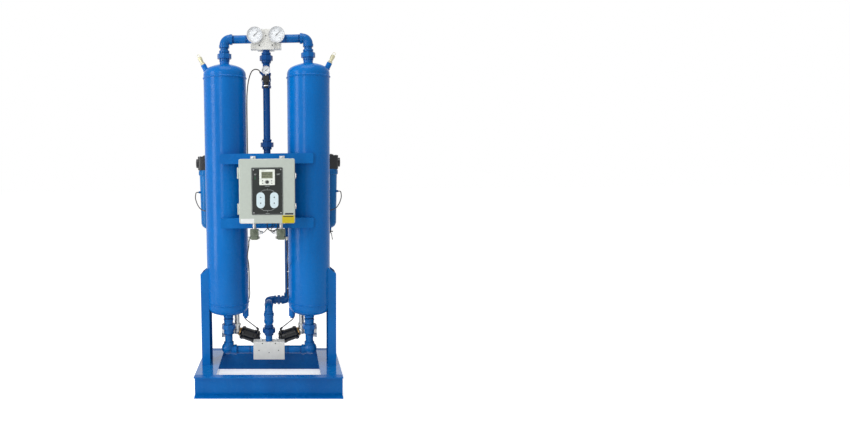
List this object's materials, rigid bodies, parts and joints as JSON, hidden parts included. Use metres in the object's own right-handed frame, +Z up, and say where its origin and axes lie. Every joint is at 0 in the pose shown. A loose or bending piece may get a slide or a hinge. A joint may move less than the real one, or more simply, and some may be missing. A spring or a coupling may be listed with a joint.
{
  "type": "twin-tower desiccant compressed air dryer",
  "caption": "Twin-tower desiccant air dryer: two upright pressure vessels on a channel skid, joined by headers, with valve blocks, gauges, filters and a control enclosure.",
  "frame": {"origin": "On the floor under the middle of the whole outline, midway between the two towers and 29.5 mm in front of the plane of their axes.", "axes": "+X to the right seen from the front, +Y to the rear, +Z up"},
  "size_m": [0.9254, 0.589, 2.151],
  "materials": {
    "blue_enamel": "gloss enamel",
    "machined_block": "satin",
    "galvanised": "satin",
    "stainless": "brushed",
    "desiccant": "beads, matte",
    "black_plastic": "matte",
    "black_gloss": "gloss",
    "bowl_blue": "gloss enamel",
    "gauge_steel": "polished",
    "gauge_glass": "clear",
    "brass": "satin",
    "grey_fibreglass": "satin",
    "panel_dark": "satin",
    "controller_cream": "matte",
    "key_dark": "matte",
    "seal_rubber": "matte",
    "coil_olive": "matte",
    "tube_black": "satin",
    "filter_paper": "matte",
    "chrome_latch": "polished"
  },
  "bodies": {
    "frame": {"air_tubes": "tube_black", "bed_screens": "stainless", "brackets": "blue_enamel", "desiccant_beds": "desiccant", "door_seal": "seal_rubber", "drain_plugs": "blue_enamel", "enclosure_body": "grey_fibreglass", "exhaust_actuators": "black_gloss", "exhaust_valves": "stainless", "filter_bowls": "bowl_blue", "filter_elements": "filter_paper", "filter_heads": "black_gloss", "gauge_case_left": "gauge_steel", "gauge_case_right": "gauge_steel", "gauge_case_small": "gauge_steel", "gauge_lenses": "gauge_glass", "header_elbows": "blue_enamel", "header_nipples": "blue_enamel", "header_pipes": "blue_enamel", "header_unions": "blue_enamel", "hinge_pins": "stainless", "inlet_block": "machined_block", "inlet_line": "blue_enamel", "leg_left": "blue_enamel", "leg_right": "blue_enamel", "line_unions": "blue_enamel", "mounting_feet": "galvanised", "mufflers": "galvanised", "outlet_block": "machined_block", "outlet_line": "blue_enamel", "pilot_regulator": "black_plastic", "relief_valves": "brass", "riser_pipes": "blue_enamel", "riser_tee": "blue_enamel", "skid_rail_front": "blue_enamel", "skid_rail_left": "blue_enamel", "skid_rail_rear": "blue_enamel", "skid_rail_right": "blue_enamel", "solenoid_valves": "coil_olive", "tower_left": "blue_enamel", "tower_right": "blue_enamel"},
    "door": {"enclosure_door": "grey_fibreglass", "door_panel": "panel_dark", "controller": "controller_cream", "latch_pins": "stainless"},
    "upper_latch": {"latch_upper": "chrome_latch"},
    "lower_latch": {"latch_lower": "chrome_latch"},
    "rocker": {"controller_rocker": "key_dark"},
    "left_pointer": {"gauge_pointer_left": "black_plastic"},
    "right_pointer": {"gauge_pointer_right": "black_plastic"},
    "small_pointer": {"gauge_pointer_small": "black_plastic"},
    "inlet_spool": {"inlet_shuttle": "stainless"},
    "outlet_spool": {"outlet_shuttle": "stainless"},
    "knob": {"regulator_knob": "black_plastic"},
    "left_relief": {"relief_stem_left": "brass"},
    "right_relief": {"relief_stem_right": "brass"},
    "key_1": {"controller_key_1": "key_dark"},
    "key_2": {"controller_key_2": "key_dark"},
    "key_3": {"controller_key_3": "key_dark"},
    "key_4": {"controller_key_4": "key_dark"}
  },
  "joints": [
    {"name": "door_hinge", "type": "hinge", "parent": "frame", "child": "door", "pos_m": [-0.156, -0.258, 1.202], "axis": [0, 0, 1], "range_deg": [-120, 0]},
    {"name": "upper_latch_pivot", "type": "hinge", "parent": "door", "child": "upper_latch", "pos_m": [0.1636, -0.2755, 1.286], "axis": [0, 0, 1], "range_deg": [-90, 0]},
    {"name": "lower_latch_pivot", "type": "hinge", "parent": "door", "child": "lower_latch", "pos_m": [0.1636, -0.2755, 1.118], "axis": [0, 0, 1], "range_deg": [-90, 0]},
    {"name": "rocker_press", "type": "slide", "parent": "door", "child": "rocker", "axis": [0, 1, 0], "range_m": [0, 0.001]},
    {"name": "left_pointer_turn", "type": "hinge", "parent": "frame", "child": "left_pointer", "pos_m": [-0.064, -0.0485, 2.104], "axis": [0, 1, 0], "range_deg": [-180, 90]},
    {"name": "right_pointer_turn", "type": "hinge", "parent": "frame", "child": "right_pointer", "pos_m": [0.064, -0.0485, 2.104], "axis": [0, 1, 0], "range_deg": [-180, 90]},
    {"name": "small_pointer_turn", "type": "hinge", "parent": "frame", "child": "small_pointer", "pos_m": [0, -0.0565, 1.899], "axis": [0, 1, 0], "range_deg": [-180, 90]},
    {"name": "inlet_spool_slide", "type": "slide", "parent": "frame", "child": "inlet_spool", "axis": [1, 0, 0], "range_m": [-0.012, 0.012]},
    {"name": "outlet_spool_slide", "type": "slide", "parent": "frame", "child": "outlet_spool", "axis": [1, 0, 0], "range_m": [-0.012, 0.012]},
    {"name": "regulator_knob_turn", "type": "hinge", "parent": "frame", "child": "knob", "pos_m": [0, -0.0445, 1.81], "axis": [0, 0, 1], "range_deg": [-720, 720]},
    {"name": "left_relief_lift", "type": "slide", "parent": "frame", "child": "left_relief", "axis": [-0.454, 0, 0.891], "range_m": [0, 0.002]},
    {"name": "right_relief_lift", "type": "slide", "parent": "frame", "child": "right_relief", "axis": [0.454, 0, 0.891], "range_m": [0, 0.002]},
    {"name": "key_1_press", "type": "slide", "parent": "door", "child": "key_1", "axis": [0, 1, 0], "range_m": [0, 0.0006]},
    {"name": "key_2_press", "type": "slide", "parent": "door", "child": "key_2", "axis": [0, 1, 0], "range_m": [0, 0.0006]},
    {"name": "key_3_press", "type": "slide", "parent": "door", "child": "key_3", "axis": [0, 1, 0], "range_m": [0, 0.0006]},
    {"name": "key_4_press", "type": "slide", "parent": "door", "child": "key_4", "axis": [0, 1, 0], "range_m": [0, 0.0006]}
  ]
}
